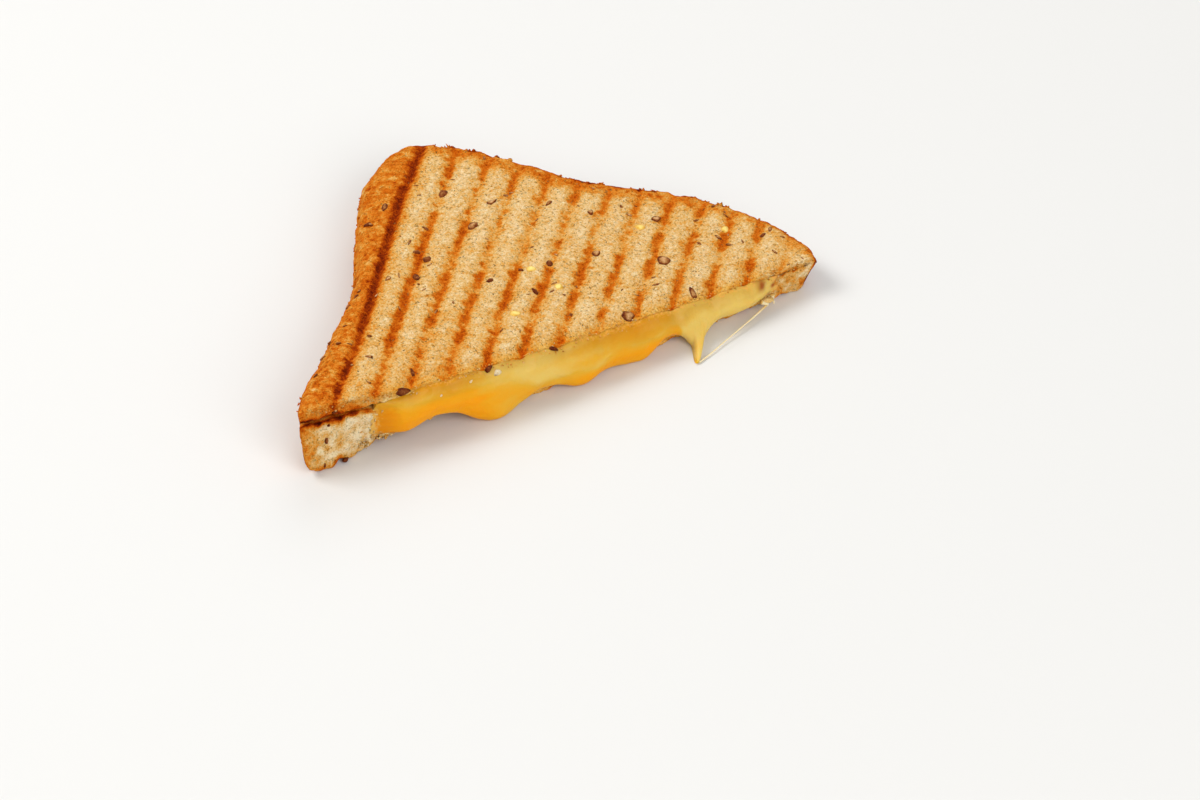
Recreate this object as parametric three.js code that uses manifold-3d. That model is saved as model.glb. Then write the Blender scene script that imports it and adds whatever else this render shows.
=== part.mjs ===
// Half of a grilled cheese sandwich, cut corner to corner: two slices of
// seeded bread pressed on a ribbed grill, with two kinds of melted cheese
// that bulge and run down over the cut.
//
// Millimetres, +Z up. The cut runs along X and faces -Y, from the thick
// bottom corner of the slice on the left to the thin tip on the right. The
// sandwich lies flat on z = 0.
//
// A place on the slice is worked out in the slice's own directions:
//   s  goes across the loaf, away from the uncut side crust
//   t  goes up along that side, parallel to the grill marks
import * as THREE from 'three';
import { mergeVertices } from 'three/addons/utils/BufferGeometryUtils.js';
import { ImprovedNoise } from 'three/addons/math/ImprovedNoise.js';
import Module from 'manifold-3d';

const { lerp, clamp, smoothstep, degToRad } = THREE.MathUtils;

// Driving dimensions
const CUT_LENGTH = 155.6;       // the cut edge, corner to tip
const SIDE_SLANT = degToRad(50); // between the cut and the side crust
const SLICE_WIDTH = 118.8;      // s of the tip
const SLICE_HEIGHT = 120.3;     // t of the upper corner of the loaf
const CORNER_HEIGHT = 21.2;     // sandwich height at the corner
const TIP_HEIGHT = 10.6;        // and at the tip
const BACK_RISE = 0.0148;       // rise of the top face per mm away from the cut
const MIDDLE_HEIGHT = 16;       // the height that the thicknesses below hold for
const CUT_BOW = 2.2;            // how far the cut bows out
const CUT_BOW_LENGTH = 118;
const GAP = 0.3;                // between neighbouring pieces
const CHEESE_GAP = 0.42;        // between the cheese and the bread over and under it

const LID = 6.2;                // top slice, inside
const LID_AT_CUT = 3.4;         // top slice where the knife pressed it
const FILLING = 4.6;            // both cheeses, inside
const FILLING_AT_CUT = 6;
const SLIT = 0.9;               // the slices part a little at the corner
const CORNER_LEAN = 2.4;        // the foot of the corner leans out of the cut
const CORNER_FACE_HEIGHT = 15.5;

// Rounded edges: how far in from the outline they reach, and how deep
const SIDE_ROUND = { width: 6.5, widthAtShoulder: 12, depth: 4.3, shareAtCorner: 0.35 };
const BACK_ROUND = { width: 4, depth: 3 };
const TIP_ROUND = { width: 3, depth: 0.8 };
const UNDER_SIDE_ROUND = { width: 6, depth: 5 };
const UNDER_TIP_ROUND = { width: 3, depth: 2 };
const UNDER_CUT_ROUND = { width: 1.5, depth: 0.6 };
const PRESSED = { width: 5, depth: 1.6 };  // the top face sinks at the cut
const UNEVEN = 0.3;             // soft unevenness of the top face
const CRUST_SWELL_TOP = 0.7;
const CRUST_SWELL_BOTTOM = 0.9;

// The underside arches up at the cut: from x to x, and how far in from the cut
const ARCH = { starts: 13, full: 34, falls: 42, ends: 54, reach: 22, height: 4.2 };

const MARKS = 13;               // grill marks
const FIRST_MARK = 8.4;         // s of the first one
const MARK_PITCH = 8.6;
const MARK_HALF_WIDTH = 1.6;
const MARK_DEPTH = 0.6;
const FIRST_MARK_DEPTH = 1;

const CHEESE_LEFT = 16.9;       // s where the cheese starts
const CHEESE_RIGHT = 109.8;     // s where it ends
const CHEESE_BACK = 0.92;       // share of the way to the back crust
const TONGUE = 117.6;           // x of the one long drip
const TONGUE_REACH = 7.5;       // how far it has run out
const TONGUE_HALF_WIDTH = 2.6;
const LIP_BULGE = 3.2;          // how far the cheese stands out of the cut
const LIP_BULGE_AT_ENDS = 1;

// Side crust of the slice, (s, t), from the corner over the waist to the
// bulging shoulder of the loaf
const sideCrust = new THREE.SplineCurve([
  new THREE.Vector2(0.4, 0),
  new THREE.Vector2(-1.4, 10),
  new THREE.Vector2(-0.4, 24),
  new THREE.Vector2(0.8, 56),
  new THREE.Vector2(-3.2, 76),
  new THREE.Vector2(-7, 99),
  new THREE.Vector2(-4.5, 113.4),
  new THREE.Vector2(-0.5, SLICE_HEIGHT),
]);

// Back crust, (s, t), from the shoulder over the wavy top of the loaf to the tip
const backCrust = new THREE.SplineCurve([
  new THREE.Vector2(-0.5, SLICE_HEIGHT),
  new THREE.Vector2(8, 121.8),
  new THREE.Vector2(26, 121.7),
  new THREE.Vector2(50, 117.6),
  new THREE.Vector2(80, 119),
  new THREE.Vector2(101, 114.6),
  new THREE.Vector2(113.5, 108.2),
  new THREE.Vector2(SLICE_WIDTH, 102),
]);

// Lower edge of the cheese that has run over the cut, (x, height)
const cheeseEdge = new THREE.SplineCurve([
  new THREE.Vector2(20, 5),
  new THREE.Vector2(27, 2.3),
  new THREE.Vector2(40, 5.2),
  new THREE.Vector2(46, 4.2),
  new THREE.Vector2(52, 0),
  new THREE.Vector2(60, 0),
  new THREE.Vector2(69, 2.2),
  new THREE.Vector2(76, 0),
  new THREE.Vector2(87, 0),
  new THREE.Vector2(94, 0.9),
  new THREE.Vector2(101, 0),
  new THREE.Vector2(110, 2.4),
  new THREE.Vector2(115, 0),
  new THREE.Vector2(120, 0),
  new THREE.Vector2(128, 3.8),
  new THREE.Vector2(134, 4.6),
  new THREE.Vector2(146, 4.4),
]);

// Reads a curve that only ever goes up in one coordinate: the other
// coordinate where it passes the value.
function readCurve(curve, along, value) {
  const across = along === 'x' ? 'y' : 'x';
  let low = 0;
  let high = 1;
  for (let step = 0; step < 24; step += 1) {
    const middle = (low + high) / 2;
    if (curve.getPoint(middle)[along] < value) low = middle;
    else high = middle;
  }
  return curve.getPoint(low)[across];
}

const noise = new ImprovedNoise();
const waver = (x, y, scale, layer) => noise.noise(x / scale, y / scale, layer);

// A bump of height 1 at the centre
const hump = (value, centre, width) => Math.exp(-(((value - centre) / width) ** 2));

// The lesser of two values, with the crease between them rounded off
function softMin(a, b, blend) {
  const near = Math.max(blend - Math.abs(a - b), 0);
  return Math.min(a, b) - (near * near) / (4 * blend);
}

// Depth of a rounded edge at a distance from the outline
function roundOff(distance, { width, depth }) {
  const inward = clamp(1 - distance / width, 0, 1);
  return depth * (1 - Math.sqrt(1 - inward * inward));
}

const cutLine = (x) => -CUT_BOW * Math.sin((Math.PI * x) / CUT_BOW_LENGTH);

// A place on the slice, with its distance to each edge
function place(s, t) {
  const x = s * Math.sin(SIDE_SLANT) + t * Math.cos(SIDE_SLANT);
  const y = t * Math.sin(SIDE_SLANT) - s * Math.cos(SIDE_SLANT);
  return {
    s,
    t,
    x,
    y,
    toCut: y - cutLine(x),
    toSide: s - readCurve(sideCrust, 'y', t),
    toBack: readCurve(backCrust, 'x', s) - t,
    toTip: SLICE_WIDTH - s,
  };
}

// Where the line of constant s meets the cut
function cutHeight(s) {
  const x = s / Math.sin(SIDE_SLANT);
  return (cutLine(x) + s * Math.cos(SIDE_SLANT)) / Math.sin(SIDE_SLANT);
}

// Grill marks press a V into the bread, the first one deepest
function groove(s) {
  const nearest = clamp(Math.round((s - FIRST_MARK) / MARK_PITCH), 0, MARKS - 1);
  const away = Math.abs(s - FIRST_MARK - nearest * MARK_PITCH) / MARK_HALF_WIDTH;
  const depth = nearest === 0 ? FIRST_MARK_DEPTH : MARK_DEPTH;
  return depth * Math.max(0, 1 - away);
}

const planeHeight = (p) =>
  lerp(CORNER_HEIGHT, TIP_HEIGHT, p.x / CUT_LENGTH) + BACK_RISE * p.y;

// Upper face of the sandwich
function topHeight(p) {
  const atShoulder = smoothstep(p.t, 60, 100);
  const pastCorner = smoothstep(p.toCut, 0, 14);
  const width = lerp(SIDE_ROUND.width, SIDE_ROUND.widthAtShoulder, atShoulder);
  const depth = SIDE_ROUND.depth * lerp(SIDE_ROUND.shareAtCorner, 1, pastCorner);
  const side = roundOff(p.toSide, { width, depth });
  const back = roundOff(p.toBack, BACK_ROUND);
  const tip = roundOff(p.toTip, TIP_ROUND);
  const nearCut = (1 - smoothstep(p.toCut, 0, PRESSED.width)) * smoothstep(p.toTip, 0, 10);
  const pressed = PRESSED.depth * nearCut;
  const uneven = UNEVEN * waver(p.x, p.y, 17, 1);
  return planeHeight(p) - Math.hypot(side, back, tip) - pressed - groove(p.s) + uneven;
}

// Underside of the top slice
function lidUnder(p) {
  const share = planeHeight(p) / MIDDLE_HEIGHT;
  const crust = 0.8 * (1 - smoothstep(Math.min(p.toSide, p.toBack), 0, 10));
  const thickness = lerp(LID_AT_CUT, LID + crust, smoothstep(p.toCut, 0, 9));
  return planeHeight(p) - thickness * share;
}

// Space between the slices: the cheese with its gaps, or only a gap at the crust
function parting(p, share) {
  const start = cutHeight(p.s);
  const toCheeseBack = (CHEESE_BACK - share) * (p.t + p.toBack - start);
  const toCheeseEnd = Math.min(p.s - CHEESE_LEFT, CHEESE_RIGHT - p.s);
  const inside = softMin(toCheeseEnd, toCheeseBack, 6);
  const scale = planeHeight(p) / MIDDLE_HEIGHT;
  const full = scale * lerp(FILLING_AT_CUT, FILLING, smoothstep(p.toCut, 0, 12));
  const slit = SLIT * (1 - smoothstep(p.toCut, 0, 10)) * (1 - smoothstep(p.x, 14, 24));
  return GAP + slit + (full - GAP) * smoothstep(inside, -6, 8);
}

// Underside of the sandwich: flat, with rounded crusts, the grill marks and
// a shallow arch at the cut where the corner curls down
function underHeight(p) {
  const side = roundOff(p.toSide, UNDER_SIDE_ROUND);
  const back = roundOff(p.toBack, BACK_ROUND);
  const tip = roundOff(p.toTip, UNDER_TIP_ROUND);
  const cut = roundOff(p.toCut, UNDER_CUT_ROUND);
  const rising = smoothstep(p.x, ARCH.starts, ARCH.full);
  const falling = 1 - smoothstep(p.x, ARCH.falls, ARCH.ends);
  const arch = ARCH.height * rising * falling * (1 - smoothstep(p.toCut, 0, ARCH.reach));
  return Math.hypot(side, back, tip, cut) + arch + groove(p.s);
}

// Columns run parallel to the grill marks: a few through the side crust, then
// four to each mark, and two more for the drip. Rows go from the cut (0) to
// the back crust (1).
const columns = [0, 0.12, 0.35, 0.65].map((band) => ({ band, s: 0 }));
for (let mark = 0; mark < MARKS; mark += 1) {
  const centre = FIRST_MARK + mark * MARK_PITCH;
  [-MARK_HALF_WIDTH, 0, MARK_HALF_WIDTH, MARK_PITCH / 2].forEach((step) => {
    columns.push({ band: 1, s: centre + step });
  });
}
while (columns.at(-1).s > SLICE_WIDTH - 1) columns.pop();
columns.push({ band: 1, s: SLICE_WIDTH });
[-1.6, 1.6].forEach((step) => {
  columns.push({ band: 1, s: (TONGUE + step) * Math.sin(SIDE_SLANT) });
});
columns.sort((a, b) => a.s + a.band - b.s - b.band);
const bandEdge = columns.find((column) => column.band === 1).s;
const rows = [0, 0.012, 0.04, 0.13, 0.33, 0.56, 0.77, 0.86, CHEESE_BACK, 0.97, 0.992, 1];

// The place of a column and a row
function gridPlace(column, row) {
  const s = column.band < 1 ? bandEdge : column.s;
  const start = cutHeight(s);
  const t = lerp(start, readCurve(backCrust, 'x', s), row);
  if (column.band === 1) return place(s, t);
  const crustT = SLICE_HEIGHT * row;
  const crustS = readCurve(sideCrust, 'y', crustT);
  return place(lerp(crustS, s, column.band), lerp(crustT, t, column.band));
}

// A closed box of rows and columns, with each of its corners moved to
// where(column number, row number, level from 0 to 1)
function boxOf(columnCount, rowCount, levels, where) {
  const box = new THREE.BoxGeometry(1, 1, 1, columnCount - 1, rowCount - 1, levels);
  box.deleteAttribute('normal');
  box.deleteAttribute('uv');
  const merged = mergeVertices(box, 1e-5);
  const position = merged.getAttribute('position');
  for (let index = 0; index < position.count; index += 1) {
    const column = Math.round((position.getX(index) + 0.5) * (columnCount - 1));
    const row = Math.round((position.getY(index) + 0.5) * (rowCount - 1));
    const spot = where(column, row, position.getZ(index) + 0.5);
    position.setXYZ(index, spot.x, spot.y, spot.z);
  }
  return merged;
}

const grid = columns.map((column) => rows.map((row) => {
  const p = gridPlace(column, row);
  const lid = lidUnder(p);
  return { p, top: topHeight(p), lid, bread: lid - parting(p, row), under: underHeight(p) };
}));

// How far the cut leans out at the corner, per mm of lean
const cornerLean = (x, toCut) => (1 - smoothstep(x, 6, 19)) * (1 - smoothstep(toCut, 0, 12));

// A slice of bread between two faces of the grid. Its crust swells halfway
// up, the foot of its corner leans out of the cut and its tip draws in below.
function slice(lower, upper, swell, lean) {
  return boxOf(columns.length, rows.length, 2, (column, row, level) => {
    const cell = grid[column][row];
    const { p } = cell;
    const out = swell * (1 - (2 * level - 1) ** 2) * smoothstep(p.toCut, -2, 12);
    const atSide = column === 0 ? out : 0;
    const atBack = row === rows.length - 1 ? out : 0;
    const foot = lean * (1 - level);
    const corner = foot * cornerLean(p.x, p.toCut);
    const tip = foot * (1 - smoothstep(p.toTip, 0, 6));
    const x = p.x - atSide * Math.sin(SIDE_SLANT) + atBack * Math.cos(SIDE_SLANT) - tip;
    const y = p.y + atSide * Math.cos(SIDE_SLANT) + atBack * Math.sin(SIDE_SLANT) - corner;
    return { x, y, z: lerp(cell[lower], cell[upper], level) };
  });
}

// Boolean joins and cuts
const wasm = await Module();
wasm.setup();

function toSolid(geometry) {
  const vertProperties = new Float32Array(geometry.getAttribute('position').array);
  const triVerts = new Uint32Array(geometry.index.array);
  return new wasm.Manifold(new wasm.Mesh({ numProp: 3, vertProperties, triVerts }));
}

function toGeometry(solid) {
  const mesh = solid.getMesh();
  const geometry = new THREE.BufferGeometry();
  geometry.setAttribute('position', new THREE.BufferAttribute(mesh.vertProperties, 3));
  geometry.setIndex(new THREE.BufferAttribute(mesh.triVerts, 1));
  return geometry;
}

// A seed: a flat grain lying in the face of the bread
const SEED = new THREE.Vector3(2.6, 1.35, 0.9); // half length, half width, half thickness

function seed(x, y, z, turn) {
  const grain = new THREE.SphereGeometry(1, 6, 4);
  grain.deleteAttribute('normal');
  grain.deleteAttribute('uv');
  grain.rotateX(Math.PI / 2);
  grain.scale(SEED.x, SEED.y, SEED.z);
  grain.rotateZ(turn);
  grain.translate(x, y, z);
  return toSolid(mergeVertices(grain, 1e-4));
}

// Places of the large seeds on the top face, (x, y), and the turn of each
const TOP_SEEDS = [
  [58.5, 67.6, 0.9],
  [51.5, 63.8, 0.6],
  [75.6, 66.7, 0.3],
  [86.2, 57.7, 0.2],
  [76.6, 50.5, 0.9],
  [58.9, 42.5, 1.0],
  [53.1, 37.4, 0.9],
  [100.3, 51.2, 2.4],
  [108.9, 43.1, 0.1],
  [88.4, 28.1, 1.1],
  [102, 26.7, 0.4],
  [70.2, 27.8, 2.0],
  [124.1, 33.5, 0.7],
  [79.2, 19.0, 0.6],
  [117.2, 16.6, 2.5],
  [34.6, 2.8, 1.3],
  [98, 0.9, 0.2],
  [118.3, 2.2, 2.0],
  [28.6, -0.2, 0.1],
];

function topBread() {
  let bread = toSolid(slice('lid', 'top', CRUST_SWELL_TOP, 0));
  TOP_SEEDS.forEach(([x, y, turn]) => {
    const s = x * Math.sin(SIDE_SLANT) - y * Math.cos(SIDE_SLANT);
    const t = x * Math.cos(SIDE_SLANT) + y * Math.sin(SIDE_SLANT);
    bread = bread.add(seed(x, y, topHeight(place(s, t)) + 0.1, turn));
  });
  return toGeometry(bread);
}

// Seeds in the cut of the bottom slice near the corner, (x, z)
const CUT_SEEDS = [
  [7.5, 10.8],
  [12, 8.2],
  [9.5, 2.4],
];

function bottomBread() {
  let bread = toSolid(slice('under', 'bread', CRUST_SWELL_BOTTOM, CORNER_LEAN));
  CUT_SEEDS.forEach(([x, z]) => {
    const lean = CORNER_LEAN * cornerLean(x, 0) * (1 - z / CORNER_FACE_HEIGHT);
    bread = bread.add(seed(x, cutLine(x) - lean, z, 0.1));
  });
  return toGeometry(bread);
}

// Both cheeses as one sheet: it lies between the slices, comes out at the
// cut, bulges and hangs down over the edge of the bottom slice.
const cheeseColumns = columns
  .map((column, number) => ({ ...column, number }))
  .filter((column) => column.band === 1 && column.s > CHEESE_LEFT - 0.1 && column.s < CHEESE_RIGHT);
const cheeseRows = rows.filter((row) => row <= CHEESE_BACK);
const LIP_ROWS = 4;             // rows of the part that hangs over the cut

function lipPoint(x, cell, row, outer) {
  const start = cell.p.y;
  const low = Math.max(0.05, Math.min(readCurve(cheeseEdge, 'x', x), cell.bread - 1.2));
  const between = smoothstep(x, 20, 32) * (1 - smoothstep(x, 132, 146));
  const bulge = lerp(LIP_BULGE_AT_ENDS, LIP_BULGE, between) + 0.5 * waver(x, 0, 9, 4);
  const tongue = TONGUE_REACH * Math.exp(-(((x - TONGUE) / TONGUE_HALF_WIDTH) ** 4));
  const lobes = 2 * hump(x, 56, 5) + 1.2 * hump(x, 81, 5) + 0.6 * hump(x, 101, 4);
  const foot = bulge * 0.7 + tongue + lobes;
  const drift = row < 2 ? -0.4 * tongue : 0;
  const innerY = start - GAP;
  const lift = cell.bread + CHEESE_GAP - low;
  const inner = [low, low + 0.3 * lift, low + 0.7 * lift, low + lift];
  if (!outer) return { x, y: innerY, z: inner[row] };
  const top = cell.lid - CHEESE_GAP;
  const reach = [foot, foot * 0.94, bulge, bulge * 0.72];
  const height = [low, low + 1.3, lerp(low, top, 0.42), lerp(low, top, 0.82)];
  return { x: x + drift, y: innerY - reach[row], z: height[row] };
}

function cheeseSheet() {
  const rowCount = LIP_ROWS + cheeseRows.length;
  return toSolid(boxOf(cheeseColumns.length, rowCount, 1, (column, row, level) => {
    const cells = grid[cheeseColumns[column].number];
    const outer = level > 0.5;
    if (row < LIP_ROWS) return lipPoint(cells[0].p.x, cells[0], row, outer);
    const cell = cells[row - LIP_ROWS];
    const z = outer ? cell.lid - CHEESE_GAP : cell.bread + CHEESE_GAP;
    return { x: cell.p.x, y: cell.p.y, z };
  }));
}

// Height where the pale cheese above meets the orange one below. On the cut
// the orange runs high on the left and the pale covers it on the right.
function cheeseMeeting(p, lid, bread) {
  const middle = (lid + bread) / 2;
  const paleDepth = 1.7 + 5 * smoothstep(p.x, 56, 68) - 2.6 * smoothstep(p.x, 84, 96);
  const front = lid - paleDepth - 14 * smoothstep(p.x, 110.5, 114.5);
  return lerp(front, middle, smoothstep(p.toCut, 0.4, 3.6));
}

// All the space under that meeting, wider than the cheese on all sides. The
// pale cheese is cut clear of the orange one by a block that is larger by a gap.
function spaceUnderMeeting(extra) {
  const first = cheeseColumns[0].number - 1;
  const last = cheeseColumns.at(-1).number + 1;
  const inFront = [16, 5, 1];   // mm in front of the cut
  const count = inFront.length + cheeseRows.length + 1;
  return toSolid(boxOf(last - first + 1, count, 1, (column, row, level) => {
    const outside = row < inFront.length ? inFront[row] : 0;
    const { p, lid, bread } = grid[first + column][Math.max(0, row - inFront.length)];
    const meeting = cheeseMeeting(p, lid, bread) + extra;
    return { x: p.x + extra, y: p.y - outside - extra, z: level > 0.5 ? meeting : -40 };
  }));
}

const SUBPARTS = [
  ['top_bread', topBread(), 0xd9a565, 0.85],
  ['bottom_bread', bottomBread(), 0xd9a565, 0.85],
  ['pale_cheese', toGeometry(cheeseSheet().subtract(spaceUnderMeeting(GAP))), 0xecd27e, 0.35],
  ['orange_cheese', toGeometry(cheeseSheet().intersect(spaceUnderMeeting(0))), 0xf2a62b, 0.35],
];

const sandwich = new THREE.Group();
SUBPARTS.forEach(([name, geometry, color, roughness]) => {
  const material = new THREE.MeshStandardMaterial({ color, roughness, metalness: 0 });
  const mesh = new THREE.Mesh(geometry, material);
  mesh.name = name;
  sandwich.add(mesh);
});

// The origin goes under the middle of the sandwich
const extent = new THREE.Box3().setFromObject(sandwich);
const middle = extent.getCenter(new THREE.Vector3());
sandwich.position.set(-middle.x, -middle.y, -extent.min.z);

export default sandwich;
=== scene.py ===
# %% [markdown]
# # Half of a grilled cheese sandwich
#
# Two slices of seeded bread were pressed on a ribbed grill with two kinds of
# cheese between them, and the sandwich was cut from corner to corner. This
# lesson dresses the plain solids of such a half: it makes the toasted slices,
# the melted cheese that hangs over the cut, the seeds, a thread of cheese and
# the crumbs, and then gives each its finish.
#
# Sizes are worked out in millimetres and turned to metres at the end.

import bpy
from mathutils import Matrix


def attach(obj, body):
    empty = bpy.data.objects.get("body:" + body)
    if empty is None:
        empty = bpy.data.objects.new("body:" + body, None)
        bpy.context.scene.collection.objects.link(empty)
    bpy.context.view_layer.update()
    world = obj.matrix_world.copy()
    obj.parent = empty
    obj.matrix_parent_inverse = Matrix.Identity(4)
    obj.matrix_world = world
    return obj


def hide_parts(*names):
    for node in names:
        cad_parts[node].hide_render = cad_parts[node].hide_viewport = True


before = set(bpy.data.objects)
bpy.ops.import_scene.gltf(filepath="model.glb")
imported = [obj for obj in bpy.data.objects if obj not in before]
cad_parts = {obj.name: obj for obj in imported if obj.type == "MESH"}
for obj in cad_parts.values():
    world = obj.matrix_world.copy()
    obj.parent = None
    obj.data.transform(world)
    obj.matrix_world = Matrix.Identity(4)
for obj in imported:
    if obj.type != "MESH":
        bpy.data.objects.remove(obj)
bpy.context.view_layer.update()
print("nodes:", ", ".join(sorted(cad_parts)))

# %% Blender's own modules and the arithmetic ones
import math
from types import SimpleNamespace

import bmesh
import bpy
import numpy as np
from mathutils import Euler, Matrix, Vector, noise

MM = 0.001  # one millimetre in metres

# %% [markdown]
# ## A few words of arithmetic
#
# Food has no straight lines, so its shape is written as smooth functions of
# place. A few small helpers carry the whole lesson: a smooth step from 0 to 1,
# a curve through a few points, and soft noise whose lumps have a real size.

# %% Helpers for smooth shapes


def rise(value, low, high):
    """A smooth step from 0 to 1."""
    share = np.clip((value - low) / (high - low), 0, 1)
    return share * share * (3 - 2 * share)


def fade(value, low, high):
    return 1 - rise(value, low, high)


def stretch(value, start, full, fading, end):
    """1 on a stretch of the way, with soft ends."""
    return rise(value, start, full) * fade(value, fading, end)


def mix(start, end, share):
    return start + (end - start) * share


def hump(value, centre, width):
    return np.exp(-(((value - centre) / width) ** 2))


def curve_through(points, steps=40):
    """A smooth curve through the points, read as second coordinate at the first."""
    spots = np.array([points[0], *points, points[-1]], float)
    share = np.linspace(0, 1, steps, endpoint=False)[:, None]
    spans = []
    for before, start, end, after in zip(spots, spots[1:], spots[2:], spots[3:]):
        slope_in, slope_out = (end - before) / 2, (after - start) / 2
        cubic = 2 * start - 2 * end + slope_in + slope_out
        square = 3 * end - 3 * start - 2 * slope_in - slope_out
        spans.append(((cubic * share + square) * share + slope_in) * share + start)
    line = np.vstack([*spans, spots[-1]])
    return lambda value: np.interp(value, line[:, 0], line[:, 1])


def lumps(points, size, layer=0):
    """Soft noise from about -1 to 1, with lumps of a size in mm."""
    spots = (points / size + layer * 7.31).tolist()
    return np.array([noise.noise(spot) for spot in spots])


def pores(points, size, layer=0):
    """Distance to the nearest of scattered pores, in shares of their spacing."""
    spots = (points / size + layer * 7.31).tolist()
    return np.array([noise.voronoi(spot)[0][0] for spot in spots])


def at(x, y=0.0, z=0.0):
    """Points from coordinates, for the two noises."""
    return np.column_stack([x, *(np.broadcast_to(value, np.shape(x)) for value in (y, z))])


print("rise(5, 0, 10) =", rise(5, 0, 10))

# %% [markdown]
# ## The plan of the half slice
#
# The plan is the piece's most telling shape: a long straight cut, a side
# crust with a waist and a swollen shoulder, and the wavy top crust of the
# loaf. A place is worked out in the slice's own directions, s across the
# loaf and t up along the side crust, because the grill marks run along t.

# %% Plan of the slice, mm
CUT_LENGTH = 155.6
SIDE_SLANT = math.radians(50)  # between the cut and the side crust
SIN, COS = math.sin(SIDE_SLANT), math.cos(SIDE_SLANT)
SLICE_WIDTH = 118.8
SLICE_HEIGHT = 120.3
CORNER_FOOT = (-78.7063, -41.8415)  # foot of the thick corner, in the frame
SIDE_BAND = 6.8  # the band of side crust, as s

side_crust = curve_through([
    (0, 0.4), (10, -1.4), (24, -0.4), (56, 0.8),
    (76, -3.2), (99, -7), (113.4, -4.5), (SLICE_HEIGHT, -0.5),
])
back_crust = curve_through([
    (-0.5, SLICE_HEIGHT), (8, 121.8), (26, 121.7), (50, 117.6),
    (80, 119), (101, 114.6), (113.5, 108.2), (SLICE_WIDTH, 102),
])


def cut_line(x):
    """The cut bows out by 2.2 mm over its first 118 mm."""
    return -2.2 * np.sin(np.pi * x / 118)


def cut_height(s):
    x = s / SIN
    return (cut_line(x) + s * COS) / SIN


def place(s, t):
    """A place on the slice, with its distance to each edge."""
    x = s * SIN + t * COS
    y = t * SIN - s * COS
    return SimpleNamespace(
        s=s, t=t, x=x, y=y, to_cut=y - cut_line(x), to_side=s - side_crust(t),
        to_back=back_crust(s) - t, to_tip=SLICE_WIDTH - s,
    )


def place_at(x, y):
    s = x * SIN - y * COS
    t = x * COS + y * SIN
    return place(s, t)


def one_place(x, y):
    return place_at(np.array([x]), np.array([y]))


def lay_out(across, along):
    """Spreads two shares over the plan: side crust to tip, and cut to back."""
    s = np.maximum(across * SLICE_WIDTH, SIDE_BAND)
    t = mix(cut_height(s), back_crust(s), along)
    crust_t = SLICE_HEIGHT * along
    band = np.clip(across * SLICE_WIDTH / SIDE_BAND, 0, 1)
    return place(mix(side_crust(crust_t), s, band), mix(crust_t, t, band))


print("back crust above the middle of the slice, mm:", round(float(back_crust(60)), 1))

# %% [markdown]
# ## Grill marks
#
# The grill's ribs stand every 8.6 mm and press a shallow groove into both
# faces. Each rib browned the bread in a broken line: dark where it pressed
# hard, only golden where the bread stood off it. The first mark, beside the
# side crust, is the darkest and runs through from end to end. So one function
# gives how far a place is from its mark, and another how strongly it was
# pressed, and shape and colour both use them.

# %% Where the marks run and how strong they are
MARKS = 13
FIRST_MARK = 7.3  # s of the first mark, at half height
MARK_PITCH = 8.62
MARK_DEPTH = 0.6
FIRST_MARK_DEPTH = 0.95
MARK_HALF_WIDTH = 1.7

# stretches where the rib pressed hard: mark, from t, to t
PRESSED = [
    (1, 13, 19), (1, 31, 92), (1, 107, 124), (2, 44, 68), (2, 75, 90), (2, 108, 124),
    (3, 38, 60), (3, 62, 70), (3, 104, 117), (4, 31, 47), (4, 56, 75), (4, 109, 118),
    (5, 38, 50), (5, 56, 77), (5, 105, 118), (6, 44, 52), (6, 57, 89), (6, 103, 113),
    (7, 60, 64), (7, 71, 87), (7, 104, 112), (8, 65, 76), (8, 80, 100), (8, 104, 118),
    (9, 69, 87), (9, 92, 104), (9, 110, 118), (10, 78, 90), (10, 97, 113),
    (11, 85, 96), (11, 103, 112),
]


def nearest_mark(p):
    """Number of the nearest mark, and the distance to it with its sign."""
    number = np.clip(np.round((p.s - FIRST_MARK) / MARK_PITCH), 0, MARKS - 1)
    slant = 0.007 + 0.021 * np.exp((1 - number) / 1.2)
    first = 1.0 - 3.4 * rise(p.t, 25, 100)
    lean = np.where(number == 0, first, slant * (60 - p.t))
    wobble = 0.35 * lumps(at(p.t / 9, number * 5.7), 1)
    return number, p.s - FIRST_MARK - number * MARK_PITCH - lean - wobble


def mark_strength(p, number, side):
    """1 where the rib pressed hard, 0 where it hardly touched."""
    uneven = lumps(at(p.t / 5.5, number * 3.1, side), 1)
    hard = np.full_like(uneven, 0.5 * side)
    for mark, start, end in PRESSED if side == 0 else []:
        inside = stretch(p.t, start - 2, start + 2, end - 2, end + 2)
        hard = np.maximum(hard, inside * (number == mark))
    broken = 0.34 + 0.56 * hard + 0.33 * uneven
    through = 0.95 - 0.1 * hump(p.t, 28, 7) - 0.15 * fade(p.t, 30, 50) + 0.15 * uneven
    return np.clip(np.where(number == 0, through, broken), 0, 1)


def groove(p, side):
    """Depth of the pressed marks, with the bread a little puffed between them."""
    number, away = nearest_mark(p)
    deep = np.where(number == 0, FIRST_MARK_DEPTH, MARK_DEPTH)
    pressed = deep * (0.55 + 0.45 * mark_strength(p, number, side))
    puffed = 0.12 * np.cos(2 * np.pi * np.minimum(np.abs(away), MARK_PITCH / 2) / MARK_PITCH)
    inside = rise(p.to_back, 0.5, 5)
    return (pressed * hump(away, 0, MARK_HALF_WIDTH * 0.72) + puffed) * mix(0.25, 1, inside)


print("marks at s =", [round(FIRST_MARK + MARK_PITCH * mark, 1) for mark in range(MARKS)])

# %% [markdown]
# ## Heights
#
# Seen from the cut the half is a wedge: the grill pressed it to 21 mm at the
# corner and 11 mm at the tip. The upper slice, the cheese and the lower slice
# share that height. Each surface between them is a height over the plan, so
# the slices and the cheese fit each other everywhere.

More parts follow.
